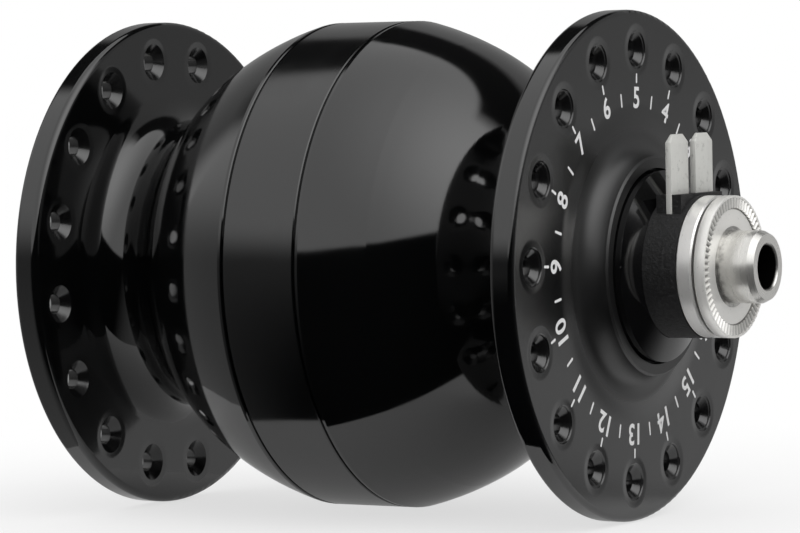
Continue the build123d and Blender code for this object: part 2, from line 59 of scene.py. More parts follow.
# Places on the hub that the finishes follow, as radii and stations in millimetres; a pair is a soft edge
SPOKE_CIRCLE = 27.0
COUNTERSINK_EDGE = (2.36, 2.44)
HOLE_LIP = (2.2, 3.4)
FLANGE_BACK = 32.7
FLANGE_FACE = 36.2
FLANGE_SATIN = (35.9, 36.15)
COLLAR_SATIN = (16.4, 18.2)
COLLAR_RISE = (15.2, 20.4)
# The bore, the foot of each stub, the locknut's groove and the valleys between its teeth are where painted
# shade is laid
AXLE_BORE = (2.72, 2.98)
AXLE_FOOT = (49.95, 51.3)
LOCKNUT_GROOVE = (48.4, 48.72)
TOOTH_VALLEY = (49.62, 49.95)
TEETH_INSIDE = (7.05, 7.15)
TEETH_OUTSIDE = (8.45, 8.55)

# Azimuth from the camera and elevation of what lights the hub, in degrees, and distances in metres
SOFT_BOX_AT = (55, 42)
HORIZON_LEANS_TO = (72, 0)
KEY_LAMP_AT = (25, 55)
FILL_LAMP_AT = (30, 15)
LAMP_DISTANCE = 1.2
CARD_ABOVE_FLOOR = 0.0005

# Turns round the tent where its left side fades out and its back fades in and out, and how softly the edges
# of its black parts end, in degrees
TENT_START = 116.0
SIDE_FADE = (30.0, 76.0)
BACK_FADE = (190.0, 212.0)
BEHIND_START = (198.0, 216.0)
BEHIND_END = (346.0, 360.0)
HORIZON_SOFT = (28.0, 2.0)
BAND_FOOT_SOFT = 3.0
BAND_TOP_SOFT = 1.5

# Shares of plain white in the black band and in the floor near the hub, and where that floor ends in metres
BLACK_BAND = 0.02
FLOOR_SHOWN = 0.67
FLOOR_MIRRORED = 0.25
NEAR_FLOOR = (0.05, 0.14)

# Reach of the soft box as a share of the tent's radius, lip of a spoke hole on the inner faces as a share of
# the outer ones, and how much fatter than its type a number is
SOFT_BOX_REACH = 1.03
INNER_LIP = 0.4
NUMBER_WEIGHT = 0.02

# Roughness of the shells
POLISHED = 0.07
SATIN = 0.23
COLLAR_DULL = 0.42
HOLE_DULL = 0.2

# The values that most of a noise texture lies between
NOISE = (0.3, 0.7)

# Ticks at and between the spoke holes in millimetres: inner radius and length, then the width of both
HOLE_TICK = (23.0, 0.9)
HALF_TICK = (20.2, 1.4)
TICK_WIDTH = 0.36

# What settings of one kind have in common
LENGTH = {"precision": 5, "unit": "LENGTH"}
ANGLE = {"subtype": "ANGLE", "unit": "ROTATION"}
COLOUR = {"size": 3, "min": 0.0, "max": 1.0, "subtype": "COLOR"}
SHARE = {"min": 0.0, "max": 1.0}


# Settings

class HubStudioSettings(bpy.types.PropertyGroup):
    """The camera, the lamps and the cards round the hub."""
    focal_length: FloatProperty(
        name="Focal length", description="Lens of the camera on a 36 mm sensor",
        default=180.867, min=20.0, unit="CAMERA")
    camera_aim: FloatVectorProperty(
        name="Camera aim", description="Point that the camera looks at",
        default=(0.00754791, 0.00241972, -0.00077355), precision=6, subtype="TRANSLATION", unit="LENGTH")
    camera_distance: FloatProperty(
        name="Camera distance", description="From the aim to the camera", default=0.528563, **LENGTH)
    camera_azimuth: FloatProperty(
        name="Camera azimuth", description="Turn of the camera about the vertical, from +X towards +Y",
        default=math.radians(-149.52), **ANGLE)
    camera_elevation: FloatProperty(
        name="Camera elevation", description="Height of the camera above the hub's middle as an angle",
        default=math.radians(2.899), **ANGLE)
    camera_roll: FloatProperty(
        name="Camera roll", description="Turn of the camera about its own line of sight",
        default=math.radians(-1.209), **ANGLE)
    floor_height: FloatProperty(
        name="Floor height", description="Level of the floor under the hub", default=-0.0321, **LENGTH)
    floor_colour: FloatVectorProperty(
        name="Floor colour", description="Pale colour of the floor", default=(0.9, 0.9, 0.9), **COLOUR)
    surround_light: FloatProperty(
        name="Surround light", description="Light that matt surfaces get from all round",
        default=0.8, **SHARE)
    key_light: FloatProperty(
        name="Key light", description="Power of the soft lamp above and to the right of the camera",
        default=3.0, min=0.0)
    fill_light: FloatProperty(
        name="Fill light", description="Power of the low soft lamp at the right of the camera",
        default=2.0, min=0.0)
    soft_box: FloatProperty(
        name="Soft box", description="How much brighter than white the middle of the reflected soft box is",
        default=1.2, min=0.0, max=2.0)
    tent_radius: FloatProperty(
        name="Tent radius", description="From the hub to the tent that it reflects", default=1.5, **LENGTH)
    side_level: FloatProperty(
        name="Side level", description="Glow low on the left of the tent", default=0.3, **SHARE)
    back_level: FloatProperty(
        name="Back level", description="Glow of the card low behind the hub", default=0.29, **SHARE)
    floor_behind: FloatProperty(
        name="Floor behind", description="Glow of the floor behind the hub", default=0.5, **SHARE)
    horizon: FloatProperty(
        name="Horizon", description="Mean angle above the hub at which the black part in front ends",
        default=math.radians(9.0), **ANGLE)
    band_low: FloatProperty(
        name="Band foot", description="Angle above the hub at which the black band behind it begins",
        default=math.radians(36.0), **ANGLE)
    band_high: FloatProperty(
        name="Band top", description="Angle above the hub at which the black band behind it ends",
        default=math.radians(56.0), **ANGLE)
    oval_width: FloatProperty(
        name="Oval width", description="Half the width of the pale floor seen under the hub",
        default=0.029, **LENGTH)
    oval_length: FloatProperty(
        name="Oval length", description="Half the length of the pale floor seen under the hub",
        default=0.06, **LENGTH)


class HubFinishSettings(bpy.types.PropertyGroup):
    """Colours of the hub's finishes."""
    anodised: FloatVectorProperty(
        name="Anodised black", description="Colour of the shells and the band",
        default=(0.0016, 0.0017, 0.0018), **COLOUR)
    flange_face: FloatVectorProperty(
        name="Flange face", description="Colour of the satin outer faces of the flanges",
        default=(0.004, 0.0041, 0.0043), **COLOUR)
    countersink: FloatVectorProperty(
        name="Countersinks", description="Colour inside the spoke holes",
        default=(0.004, 0.004, 0.0042), **COLOUR)
    seal: FloatVectorProperty(
        name="Seal covers", description="Colour of the glossy seal covers",
        default=(0.003, 0.003, 0.0032), **COLOUR)
    moulding: FloatVectorProperty(
        name="Moulding", description="Colour of the moulded connector body",
        default=(0.008, 0.008, 0.0084), **COLOUR)
    blade: FloatVectorProperty(
        name="Blades", description="Colour of the tinned plug blades", default=(0.62, 0.62, 0.59), **COLOUR)
    polished_steel: FloatVectorProperty(
        name="Polished steel", description="Colour of the end spacers and the bearings",
        default=(0.93, 0.92, 0.9), **COLOUR)
    nickel: FloatVectorProperty(
        name="Nickel", description="Colour of the plated locknuts", default=(0.88, 0.87, 0.84), **COLOUR)
    # Painted shade: a dark colour laid into the locknut's groove, between its teeth and at the foot of each
    # axle stub, where shade falls
    hollow_shade: FloatVectorProperty(
        name="Shade", description="Colour of oily hollows in the metal",
        default=(0.06, 0.056, 0.05), **COLOUR)
    # Painted shade: a near-black colour laid inside the axle's bore, where shade falls
    bore_shade: FloatVectorProperty(
        name="Bore", description="Colour of the axle's dark bore", default=(0.012, 0.011, 0.01), **COLOUR)
    axle_steel: FloatVectorProperty(
        name="Axle steel", description="Colour of the turned axle", default=(0.8, 0.79, 0.76), **COLOUR)
    ink: FloatVectorProperty(
        name="Ink", description="Colour of the printed numbers", default=(0.72, 0.72, 0.72), **COLOUR)


class HubDetailSettings(bpy.types.PropertyGroup):
    """Sizes of the pieces that are modelled here."""
    number_radius: FloatProperty(
        name="Number radius", description="Circle through the middle of the spoke numbers",
        default=20.9 * MM, **LENGTH)
    number_height: FloatProperty(
        name="Number height", description="Size of the type of the spoke numbers",
        default=3.7 * MM, **LENGTH)
    ink_height: FloatProperty(
        name="Ink height", description="How far the print stands off the flange",
        default=0.012 * MM, **LENGTH)
    spoke_holes: IntProperty(
        name="Spoke holes", description="Spoke holes in one flange", default=16, min=4, max=24)
    first_hole: FloatProperty(
        name="First hole", description="Angle of the first spoke hole of the flange at the connector",
        default=math.radians(-2.8), **ANGLE)
    flange_rise: FloatProperty(
        name="Flange rise", description="Soft rise of a flange's face at the collar, drawn by its shading",
        default=0.7 * MM, **LENGTH)
    hole_lip: FloatProperty(
        name="Hole lip", description="Soft fall of a flange's face at a spoke hole, drawn by its shading",
        default=0.13 * MM, **LENGTH)
    blade_edge: FloatProperty(
        name="Blade edge", description="Bevel along the edges of the plug blades",
        default=0.09 * MM, **LENGTH)
    blade_lead: FloatProperty(
        name="Blade lead-in", description="Height of the slopes at the tip of a plug blade",
        default=0.9 * MM, **LENGTH)
    blade_corner: FloatProperty(
        name="Blade corner", description="Height of the cut corners at the tip of a plug blade",
        default=1.0 * MM, **LENGTH)
    rim_width: FloatProperty(
        name="Rim width", description="Plain rim outside the locknut's teeth", default=0.3 * MM, **LENGTH)
    rim_depth: FloatProperty(
        name="Rim depth", description="Depth of the plain rim along the axle", default=1.42 * MM, **LENGTH)
    rim_edge: FloatProperty(
        name="Rim edge", description="Rounding of the rim's edges", default=0.07 * MM, **LENGTH)
    rim_cover: FloatProperty(
        name="Rim cover", description="How far the rim stands off the locknut that it closes",
        default=0.012 * MM, **LENGTH)
    rim_mouth: FloatProperty(
        name="Rim mouth", description="Inside of the rim's back, as a share of its radius",
        default=0.89, min=0.5, max=1.0)


def studio():
    return bpy.context.scene.hub_studio


def finishes():
    return bpy.context.scene.hub_finishes


def details():
    return bpy.context.scene.hub_details


# Modelling helpers

def select_only(*objects):
    """Leaves only these objects selected, with the first one active."""
    bpy.ops.object.select_all(action="DESELECT")
    for item in objects:
        item.select_set(True)
    bpy.context.view_layer.objects.active = objects[0]


def named(name):
    """The object that an operator has just made, under a name of its own."""
    made = bpy.context.view_layer.objects.active
    made.name = name
    made.data.name = name
    return made


def place(item, matrix):
    """Puts a place or turn into an object's mesh, so that the object stays at the origin."""
    item.data.transform(matrix)
    if matrix.determinant() < 0:
        item.data.flip_normals()
    item.data.update()


def apply_place(item):
    """Moves an object's own place into its mesh."""
    bpy.context.view_layer.update()
    matrix = item.matrix_world.copy()
    item.matrix_world = Matrix.Identity(4)
    place(item, matrix)


def pick(item, kind, test):
    """In edit mode, selects just the faces, edges or verts that pass a test."""
    bpy.ops.mesh.select_all(action="DESELECT")
    mode = {"faces": "FACE", "edges": "EDGE", "verts": "VERT"}[kind]
    bpy.ops.mesh.select_mode(type=mode)
    body = bmesh.from_edit_mesh(item.data)
    chosen = 0
    for part in getattr(body, kind):
        if test(part):
            part.select_set(True)
            chosen += 1
    bmesh.update_edit_mesh(item.data)
    if not chosen:
        raise RuntimeError(f"nothing picked on {item.name}")


def stage_only(item):
    """Makes a card that only reflections can show."""
    item.visible_camera = False
    item.visible_diffuse = False
    item.visible_transmission = False
    item.visible_volume_scatter = False
    item.visible_shadow = False


# Node helpers

def fill(tree, node, values):
    """Gives a node its inputs, each of them either a value or a socket to link."""
    for key, value in values.items():
        if isinstance(value, bpy.types.NodeSocket):
            tree.links.new(value, node.inputs[key])
        else:
            node.inputs[key].default_value = value


def add(tree, kind, values=(), **settings):
    """A new node with its inputs and settings."""
    made = tree.nodes.new(kind)
    for name, value in settings.items():
        setattr(made, name, value)
    fill(tree, made, dict(values))
    return made


def maths(tree, operation, *values):
    """The result of one sum on values or sockets."""
    return add(tree, "ShaderNodeMath", dict(enumerate(values)), operation=operation).outputs[0]


def span(tree, value, low, high, start=0.0, end=1.0):
    """A value mapped smoothly from one range to another."""
    ends = {"Value": value, "From Min": low, "From Max": high, "To Min": start, "To Max": end}
    return add(tree, "ShaderNodeMapRange", ends, interpolation_type="SMOOTHSTEP").outputs[0]


def blend(tree, mask, first, second):
    """One colour where the mask is 0 and the other where it is 1."""
    return add(tree, "ShaderNodeMix", {0: mask, 6: first, 7: second}, data_type="RGBA").outputs[2]


def rgba(colour, level=1.0):
    """A colour for a socket, made darker or paler by its level."""
    return tuple(min(1.0, part * level) for part in colour) + (1.0,)


def new_group(name, gives, **takes):
    """A node group that takes a place and named values: its tree, its start's sockets and its end node."""
    tree = bpy.data.node_groups.new(name, "ShaderNodeTree")
    tree.interface.new_socket("Vector", in_out="INPUT", socket_type="NodeSocketVector")
    for label, default in takes.items():
        socket = tree.interface.new_socket(label, in_out="INPUT", socket_type="NodeSocketFloat")
        socket.default_value = default
    for label in gives:
        tree.interface.new_socket(label, in_out="OUTPUT", socket_type="NodeSocketFloat")
    return tree, tree.nodes.new("NodeGroupInput").outputs, tree.nodes.new("NodeGroupOutput")


def use(tree, group, values):
    """The outputs of a node group that is placed in a tree."""
    return add(tree, "ShaderNodeGroup", values, node_tree=bpy.data.node_groups[group]).outputs


def axle_coordinates():
    """Radius and station in millimetres, and the turn about the axle with its cosine and sine."""
    tree, start, end = new_group("Axle Coordinates", ("Radius", "Station", "Cosine", "Sine", "Turn"))
    parts = add(tree, "ShaderNodeSeparateXYZ", {0: start["Vector"]}).outputs
    x, y, z = (maths(tree, "MULTIPLY", part, 1 / MM) for part in parts)
    across = maths(tree, "ADD", maths(tree, "MULTIPLY", x, x), maths(tree, "MULTIPLY", z, z))
    radius = maths(tree, "MAXIMUM", maths(tree, "SQRT", across), 0.01)
    fill(tree, end, {"Radius": radius, "Station": y, "Cosine": maths(tree, "DIVIDE", x, radius),
                     "Sine": maths(tree, "DIVIDE", z, radius), "Turn": maths(tree, "ARCTAN2", z, x)})


def turning_lines():
    """Fine lines left by a lathe, round the axle on every surface, that fade in and out along their run."""
    tree, start, end = new_group("Turning Lines", ("Height", "Patch"), Spacing=0.1, Run=1.5)
    place_on = use(tree, "Axle Coordinates", {0: start["Vector"]})
    where = add(tree, "ShaderNodeCombineXYZ", {
        0: maths(tree, "DIVIDE", place_on["Radius"], start["Spacing"]),
        1: maths(tree, "DIVIDE", place_on["Station"], start["Spacing"]),
        2: maths(tree, "MULTIPLY", place_on["Cosine"], start["Run"])}).outputs[0]
    fourth = maths(tree, "MULTIPLY", place_on["Sine"], start["Run"])
    lines = add(tree, "ShaderNodeTexNoise", {
        "Vector": where, "W": fourth, "Scale": 1.0, "Detail": 3.0, "Roughness": 0.6}, noise_dimensions="4D")
    patch = add(tree, "ShaderNodeTexNoise", {
        "Vector": start["Vector"], "Scale": 210.0, "Detail": 2.0, "Roughness": 0.5})
    fill(tree, end, {"Height": lines.outputs[0], "Patch": patch.outputs[0]})


def fine_grain():
    """A fine random texture, and a coarser patchiness for the roughness."""
    tree, start, end = new_group("Fine Grain", ("Height", "Patch"), Size=0.1)
    scale = maths(tree, "DIVIDE", 1 / MM, start["Size"])
    grain = add(tree, "ShaderNodeTexNoise", {
        "Vector": start["Vector"], "Scale": scale, "Detail": 4.0, "Roughness": 0.65})
    coarse = maths(tree, "MULTIPLY", scale, 0.06)
    patch = add(tree, "ShaderNodeTexNoise", {
        "Vector": start["Vector"], "Scale": coarse, "Detail": 2.0, "Roughness": 0.5})
    fill(tree, end, {"Height": grain.outputs[0], "Patch": patch.outputs[0]})


def spoke_hole_mask():
    """A mask of 1 inside the countersinks of both flanges, and a lip that falls softly into each of them."""
    tree, start, end = new_group("Spoke Hole Mask", ("Mask", "Lip"))
    pitch = 2 * math.pi / details().spoke_holes
    place_on = use(tree, "Axle Coordinates", {0: start["Vector"]})
    plain_side = maths(tree, "GREATER_THAN", place_on["Station"], 0.0)
    first = maths(tree, "MULTIPLY_ADD", plain_side, pitch / 2, details().first_hole - pitch / 2)
    turn = maths(tree, "SUBTRACT", place_on["Turn"], first)
    turn = maths(tree, "SUBTRACT", maths(tree, "FLOORED_MODULO", turn, pitch), pitch / 2)
    along = maths(tree, "MULTIPLY", place_on["Radius"], maths(tree, "COSINE", turn))
    across = maths(tree, "MULTIPLY", place_on["Radius"], maths(tree, "SINE", turn))
    away = maths(tree, "SUBTRACT", along, SPOKE_CIRCLE)
    distance = maths(tree, "SQRT", maths(tree, "ADD", maths(tree, "MULTIPLY", away, away),
                                         maths(tree, "MULTIPLY", across, across)))
    near = span(tree, distance, *COUNTERSINK_EDGE, 1.0, 0.0)
    flange = maths(tree, "GREATER_THAN", maths(tree, "ABSOLUTE", place_on["Station"]), FLANGE_BACK)
    fill(tree, end, {"Mask": maths(tree, "MULTIPLY", near, flange),
                     "Lip": maths(tree, "MULTIPLY", span(tree, distance, *HOLE_LIP, -1.0, 0.0), flange)})


def new_finish(name):
    """A node material with its Principled shader and the object coordinates."""
    material = bpy.data.materials.new(name)
    material.use_nodes = True
    tree = material.node_tree
    shader = tree.nodes["Principled BSDF"]
    vector = add(tree, "ShaderNodeTexCoord").outputs["Object"]
    return material, tree, shader, vector


def raised(tree, height, distance):
    """A normal that follows a height, whose 1 is a distance in metres."""
    return add(tree, "ShaderNodeBump", {"Height": height, "Distance": distance}).outputs[0]


def anodised_finish():
    """Polished black anodised aluminium, satin on the outer flange faces and round their spoke holes."""
    material, tree, shader, vector = new_finish("black_anodised_shell")
    place_on = use(tree, "Axle Coordinates", {0: vector})
    lines = use(tree, "Turning Lines", {"Vector": vector, "Spacing": 0.16, "Run": 1.2})
    hole = use(tree, "Spoke Hole Mask", {0: vector})
    station = maths(tree, "ABSOLUTE", place_on["Station"])
    outer = span(tree, station, *FLANGE_SATIN)
    base = blend(tree, outer, rgba(finishes().anodised), rgba(finishes().flange_face))
    base = blend(tree, hole["Mask"], base, rgba(finishes().countersink))
    rough = maths(tree, "ADD", span(tree, outer, 0.0, 1.0, POLISHED, SATIN),
                  span(tree, lines["Patch"], *NOISE, -0.012, 0.018))
    rough = maths(tree, "MAXIMUM", rough, maths(tree, "MULTIPLY", hole["Mask"], HOLE_DULL))
    collar = maths(tree, "MULTIPLY", span(tree, place_on["Radius"], *COLLAR_SATIN, 1.0, 0.0), outer)
    rough = maths(tree, "MAXIMUM", rough, maths(tree, "MULTIPLY", collar, COLLAR_DULL))
    rise = span(tree, place_on["Radius"], *COLLAR_RISE, details().flange_rise, 0.0)
    rise = maths(tree, "MULTIPLY", rise, outer)
    fine = maths(tree, "MULTIPLY", lines["Height"], 0.0000012)
    deep = details().hole_lip
    lip = maths(tree, "MULTIPLY", hole["Lip"], span(tree, outer, 0.0, 1.0, INNER_LIP * deep, deep))
    height = maths(tree, "ADD", rise, maths(tree, "ADD", lip, fine))
    fill(tree, shader, {"Base Color": base, "Roughness": rough, "IOR": 1.72,
                        "Normal": raised(tree, height, 1.0)})
    return material


def band_finish():
    """Black anodising over a finely turned band, a little duller than the bells beside it."""
    material, tree, shader, vector = new_finish("black_anodised_band")
    lines = use(tree, "Turning Lines", {"Vector": vector, "Spacing": 0.11, "Run": 2.0})
    base = blend(tree, lines["Height"], rgba(finishes().anodised, 0.9), rgba(finishes().anodised, 1.5))
    rough = span(tree, lines["Patch"], *NOISE, 0.1, 0.14)
    fill(tree, shader, {"Base Color": base, "Roughness": rough, "IOR": 1.72,
                        "Normal": raised(tree, lines["Height"], 0.000002)})
    return material


def gloss_finish():
    """Glossy black cover with the faint lines of its turning."""
    material, tree, shader, vector = new_finish("gloss_black_cover")
    lines = use(tree, "Turning Lines", {"Vector": vector, "Spacing": 0.2, "Run": 1.0})
    base = blend(tree, lines["Patch"], rgba(finishes().seal, 0.8), rgba(finishes().seal, 1.3))
    rough = span(tree, lines["Patch"], *NOISE, 0.06, 0.1)
    fill(tree, shader, {"Base Color": base, "Roughness": rough, "IOR": 1.6,
                        "Normal": raised(tree, lines["Height"], 0.0000015)})
    return material


def moulded_finish():
    """Black plastic with the coarse leathery texture of its mould, paler on the grain's tops."""
    material, tree, shader, vector = new_finish("moulded_black_plastic")
    coarse = use(tree, "Fine Grain", {"Vector": vector, "Size": 0.42})
    fine = use(tree, "Fine Grain", {"Vector": vector, "Size": 0.11})
    tops = span(tree, coarse["Height"], 0.45, 0.72)
    base = blend(tree, tops, rgba(finishes().moulding, 0.7), rgba(finishes().moulding, 2.2))
    rough = span(tree, fine["Height"], *NOISE, 0.46, 0.66)
    height = maths(tree, "MULTIPLY", fine["Height"], 0.00003)
    height = maths(tree, "MULTIPLY_ADD", coarse["Height"], 0.00011, height)
    fill(tree, shader, {"Base Color": base, "Roughness": rough, "IOR": 1.5,
                        "Normal": raised(tree, height, 1.0)})
    return material


def blade_finish():
    """Dull tinned strip with rolling lines along the blades and faint scuffs from plugging."""
    material, tree, shader, vector = new_finish("tinned_strip")
    stretched = add(tree, "ShaderNodeMapping", {"Vector": vector, "Scale": (1.0, 1.0, 0.06)}).outputs[0]
    rolled = use(tree, "Fine Grain", {"Vector": stretched, "Size": 0.12})
    grain = use(tree, "Fine Grain", {"Vector": vector, "Size": 0.9})
    scuff = span(tree, grain["Height"], 0.56, 0.68)
    base = blend(tree, rolled["Height"], rgba(finishes().blade, 0.86), rgba(finishes().blade, 1.08))
    base = blend(tree, scuff, base, rgba(finishes().blade, 0.72))
    rough = span(tree, grain["Height"], *NOISE, 0.34, 0.5)
    fill(tree, shader, {"Base Color": base, "Roughness": rough, "Metallic": 0.2,
                        "Normal": raised(tree, rolled["Height"], 0.000008)})
    return material


def machined_finish(name, colour, spacing, depth, roughness, metallic=1.0):
    """Bare or plated metal with lathe lines, slightly patchy gloss and duller hollows."""
    material, tree, shader, vector = new_finish(name)
    lines = use(tree, "Turning Lines", {"Vector": vector, "Spacing": spacing, "Run": 0.8})
    grain = use(tree, "Fine Grain", {"Vector": vector, "Size": 0.3})
    base = blend(tree, lines["Patch"], rgba(colour, 0.92), rgba(colour, 1.06))
    base = blend(tree, span(tree, grain["Height"], 0.6, 0.74), base, rgba(colour, 0.72))
    rough = span(tree, lines["Height"], *NOISE, *roughness)
    fill(tree, shader, {"Base Color": base, "Roughness": rough, "Metallic": metallic,
                        "Normal": raised(tree, lines["Height"], depth)})
    return material


def darkened(material, mask, colour):
    """Gives a machined finish another colour where a mask is 1."""
    tree = material.node_tree
    socket = tree.nodes["Principled BSDF"].inputs["Base Color"]
    tree.links.new(blend(tree, mask, socket.links[0].from_socket, rgba(colour)), socket)


def axle_finish():
    """Ground axle steel, with painted shade in a patchy band at the foot of each stub and painted shade down
    its hollow middle.
    """
    material = machined_finish("axle_steel", finishes().axle_steel, spacing=0.08, depth=0.0000012,
                               roughness=(0.26, 0.34), metallic=0.88)
    tree = material.node_tree
    vector = add(tree, "ShaderNodeTexCoord").outputs["Object"]
    place_on = use(tree, "Axle Coordinates", {0: vector})
    patch = use(tree, "Fine Grain", {"Vector": vector, "Size": 3.0})["Height"]
    # Painted shade: a patchy darker band at the foot of each stub, where it leaves the locknut
    foot = span(tree, maths(tree, "ABSOLUTE", place_on["Station"]), *AXLE_FOOT, 1.0, 0.0)
    shaded = maths(tree, "MULTIPLY", foot, span(tree, patch, 0.4, 0.66, 0.15, 0.75))
    darkened(material, shaded, finishes().hollow_shade)
    # Painted shade: near black inside the bore
    darkened(material, span(tree, place_on["Radius"], *AXLE_BORE, 1.0, 0.0), finishes().bore_shade)
    return material


def locknut_finish():
    """Dull nickel plating, with painted shade in the groove at its back and between its teeth."""
    material = machined_finish("plated_locknut", finishes().nickel, spacing=0.12, depth=0.0000015,
                               roughness=(0.32, 0.44), metallic=0.55)
    tree = material.node_tree
    vector = add(tree, "ShaderNodeTexCoord").outputs["Object"]
    place_on = use(tree, "Axle Coordinates", {0: vector})
    station = maths(tree, "ABSOLUTE", place_on["Station"])
    # Painted shade in the groove behind the locknut's rim
    darkened(material, span(tree, station, *LOCKNUT_GROOVE, 1.0, 0.0), finishes().hollow_shade)
    # Painted shade in the valleys between the teeth
    valley_shade = span(tree, station, *TOOTH_VALLEY, 1.0, 0.0)
    valley_shade = maths(tree, "MULTIPLY", valley_shade, span(tree, place_on["Radius"], *TEETH_INSIDE))
    valley_shade = maths(tree, "MULTIPLY", valley_shade, span(tree, place_on["Radius"], *TEETH_OUTSIDE, 1.0, 0.0))
    darkened(material, maths(tree, "MULTIPLY", valley_shade, 0.75), finishes().hollow_shade)
    return material


def rough_finish(name, dark, pale, size, depth, roughness, metallic=0.0):
    """A grainy material, such as rubber, sintered magnet or cut steel sheet."""
    material, tree, shader, vector = new_finish(name)
    grain = use(tree, "Fine Grain", {"Vector": vector, "Size": size})
    base = blend(tree, grain["Height"], rgba(dark), rgba(pale))
    rough = span(tree, grain["Patch"], *NOISE, *roughness)
    fill(tree, shader, {"Base Color": base, "Roughness": rough, "Metallic": metallic, "IOR": 1.5,
                        "Normal": raised(tree, grain["Height"], depth)})
    return material


def finish_nodes(material, *nodes):
    """Gives a finish to solids by their names."""
    for node in nodes:
        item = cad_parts[node]
        if item.data.materials:
            item.data.materials[0] = material
        else:
            item.data.materials.append(material)


def at_both_ends(*names):
    """The names of the pieces that the hub has at each end."""
    return [f"{name}_{end}" for name in names for end in ENDS]


# Studio

def set_camera():
    """A camera that looks at the hub from the photograph's angle."""
    look = studio()
    back = direction(0, math.degrees(look.camera_elevation))
    right = Vector((0, 0, 1)).cross(back).normalized()
    up = back.cross(right)
    turned_right = right * math.cos(look.camera_roll) + up * math.sin(look.camera_roll)
    turned_up = up * math.cos(look.camera_roll) - right * math.sin(look.camera_roll)
    lens = bpy.data.cameras.new("product_camera")
    lens.sensor_width = 36.0
    lens.lens = look.focal_length
    lens.clip_start = 0.01
    lens.clip_end = 50.0
    camera = bpy.data.objects.new("product_camera", lens)
    bpy.context.scene.collection.objects.link(camera)
    turn = Matrix((turned_right, turned_up, back)).transposed()
    stand = Vector(look.camera_aim) + back * look.camera_distance
    camera.matrix_world = Matrix.Translation(stand) @ turn.to_4x4()
    bpy.context.scene.camera = camera
    bpy.context.scene.view_settings.view_transform = "Standard"


def seen_directly(tree):
    """1 for camera, glossy and transmission rays, and 0 for the light that falls on surfaces."""
    path = add(tree, "ShaderNodeLightPath").outputs
    either = maths(tree, "MAXIMUM", path["Is Camera Ray"], path["Is Glossy Ray"])
    return maths(tree, "MAXIMUM", either, path["Is Transmission Ray"])


def set_world():
    """A white surround for the camera and for reflections, and a plain soft light for matt surfaces."""
    world = bpy.data.worlds.new("white_surround")
    bpy.context.scene.world = world
    world.use_nodes = True
    tree = world.node_tree
    tree.nodes.clear()
    light = add(tree, "ShaderNodeBackground", {"Color": (1, 1, 1, 1), "Strength": studio().surround_light})
    shown = add(tree, "ShaderNodeBackground", {"Color": (1, 1, 1, 1), "Strength": 1.0})
    seen = seen_directly(tree)
    mixed = add(tree, "ShaderNodeMixShader", {0: seen, 1: light.outputs[0], 2: shown.outputs[0]})
    add(tree, "ShaderNodeOutputWorld", {"Surface": mixed.outputs[0]})


def floor_finish():
    """Pale matt floor that keeps the hub's shadow and runs out into the white surround."""
    material, tree, shader, vector = new_finish("pale_floor")
    grain = add(tree, "ShaderNodeTexNoise", {"Vector": vector, "Scale": 40.0, "Detail": 3.0}).outputs[0]
    tint = blend(tree, grain, rgba(studio().floor_colour, 0.99), rgba(studio().floor_colour, 1.01))
    fill(tree, shader, {"Base Color": tint, "Roughness": 0.9, "Specular IOR Level": 0.0})
    away = add(tree, "ShaderNodeVectorMath", {0: vector}, operation="LENGTH").outputs["Value"]
    camera = add(tree, "ShaderNodeLightPath").outputs["Is Camera Ray"]
    near = maths(tree, "MULTIPLY_ADD", camera, FLOOR_SHOWN - FLOOR_MIRRORED, FLOOR_MIRRORED)
    far = maths(tree, "MULTIPLY", span(tree, away, *NEAR_FLOOR, near, 1.0), seen_directly(tree))
    white = add(tree, "ShaderNodeEmission", {"Color": (1, 1, 1, 1), "Strength": 1.0}).outputs[0]
    mixed = add(tree, "ShaderNodeMixShader", {0: far, 1: shader.outputs[0], 2: white})
    tree.links.new(mixed.outputs[0], tree.nodes["Material Output"].inputs["Surface"])
    return material


def card_finish(name, level):
    """A plain black, grey or glowing card."""
    material = bpy.data.materials.new(name)
    material.use_nodes = True
    tree = material.node_tree
    tree.nodes.clear()
    glow = add(tree, "ShaderNodeEmission", {"Color": (1, 1, 1, 1), "Strength": level})
    add(tree, "ShaderNodeOutputMaterial", {"Surface": glow.outputs[0]})
    return material


def turn_round(tree, vector):
    """Degrees round the hub, from 0 where the grey side of the tent begins to 360."""
    parts = add(tree, "ShaderNodeSeparateXYZ", {0: vector}).outputs
    turn = maths(tree, "SUBTRACT", maths(tree, "ARCTAN2", parts[1], parts[0]), studio().camera_azimuth)
    return maths(tree, "FLOORED_MODULO", maths(tree, "MULTIPLY_ADD", turn, 180 / math.pi, TENT_START), 360.0)


def low_glow(tree, turn, behind):
    """Glow low in the tent and on the floor: grey on the left, black in front and grey again behind."""
    side = span(tree, turn, *SIDE_FADE, studio().side_level, 0.0)
    return maths(tree, "ADD", side, span(tree, turn, *BACK_FADE, 0.0, behind))


